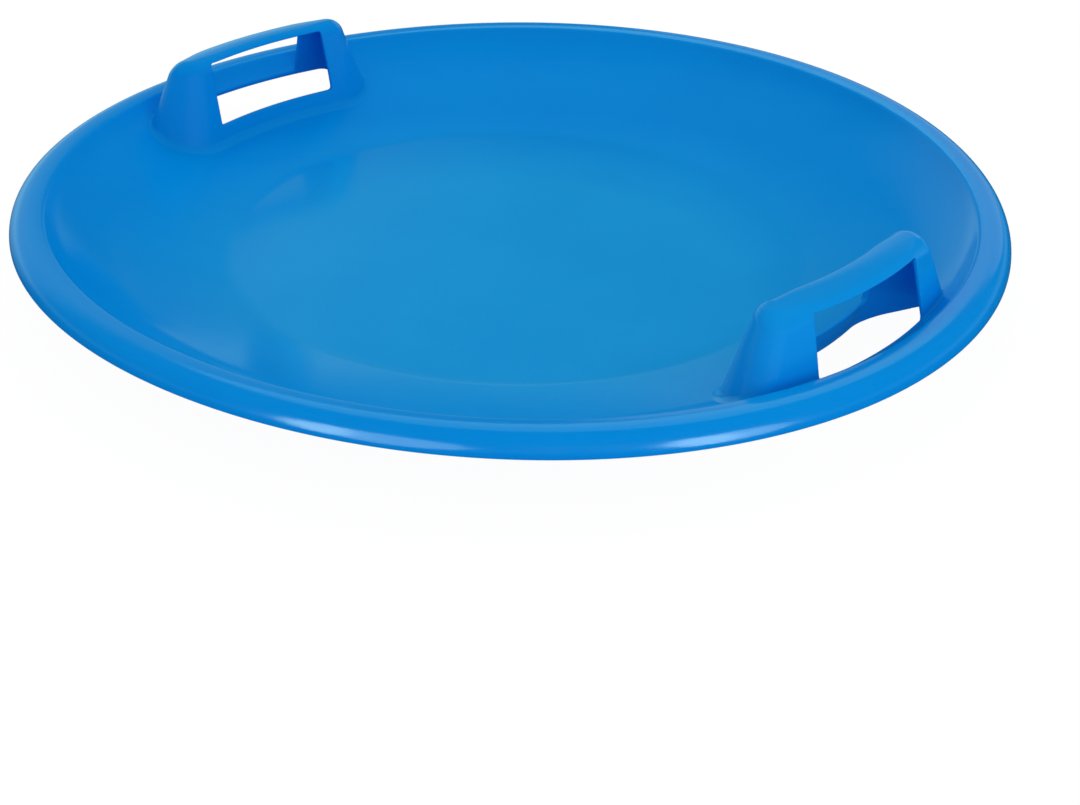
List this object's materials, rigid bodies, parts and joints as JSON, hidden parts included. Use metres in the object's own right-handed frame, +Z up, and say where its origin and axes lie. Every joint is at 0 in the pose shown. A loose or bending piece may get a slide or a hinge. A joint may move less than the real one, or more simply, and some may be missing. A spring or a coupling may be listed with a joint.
{
  "type": "saucer sled",
  "caption": "Round moulded plastic snow saucer: a shallow dish with a flat bottom, a rolled rim and hollow hand-holds facing each other, open below through slots in the dish.",
  "frame": {"origin": "centre of the flat bottom, on the ground", "axes": "+Z up, +X from the middle through hand-hold a, -X through hand-hold b"},
  "size_m": [0.65, 0.65, 0.0773],
  "materials": {
    "moulding": "satin gloss plastic, coloured through; taken to be polyethylene",
    "hand_grip": "the same blue plastic as the rest of the moulding"
  },
  "bodies": {
    "root": {"floor_pan": "moulding", "side_wall": "moulding", "rolled_rim": "moulding", "handle_a_grip": "hand_grip", "handle_a_palm_wall": "moulding", "handle_a_post_right": "moulding", "handle_a_post_left": "moulding", "handle_b_grip": "hand_grip", "handle_b_palm_wall": "moulding", "handle_b_post_right": "moulding", "handle_b_post_left": "moulding"}
  },
  "joints": []
}
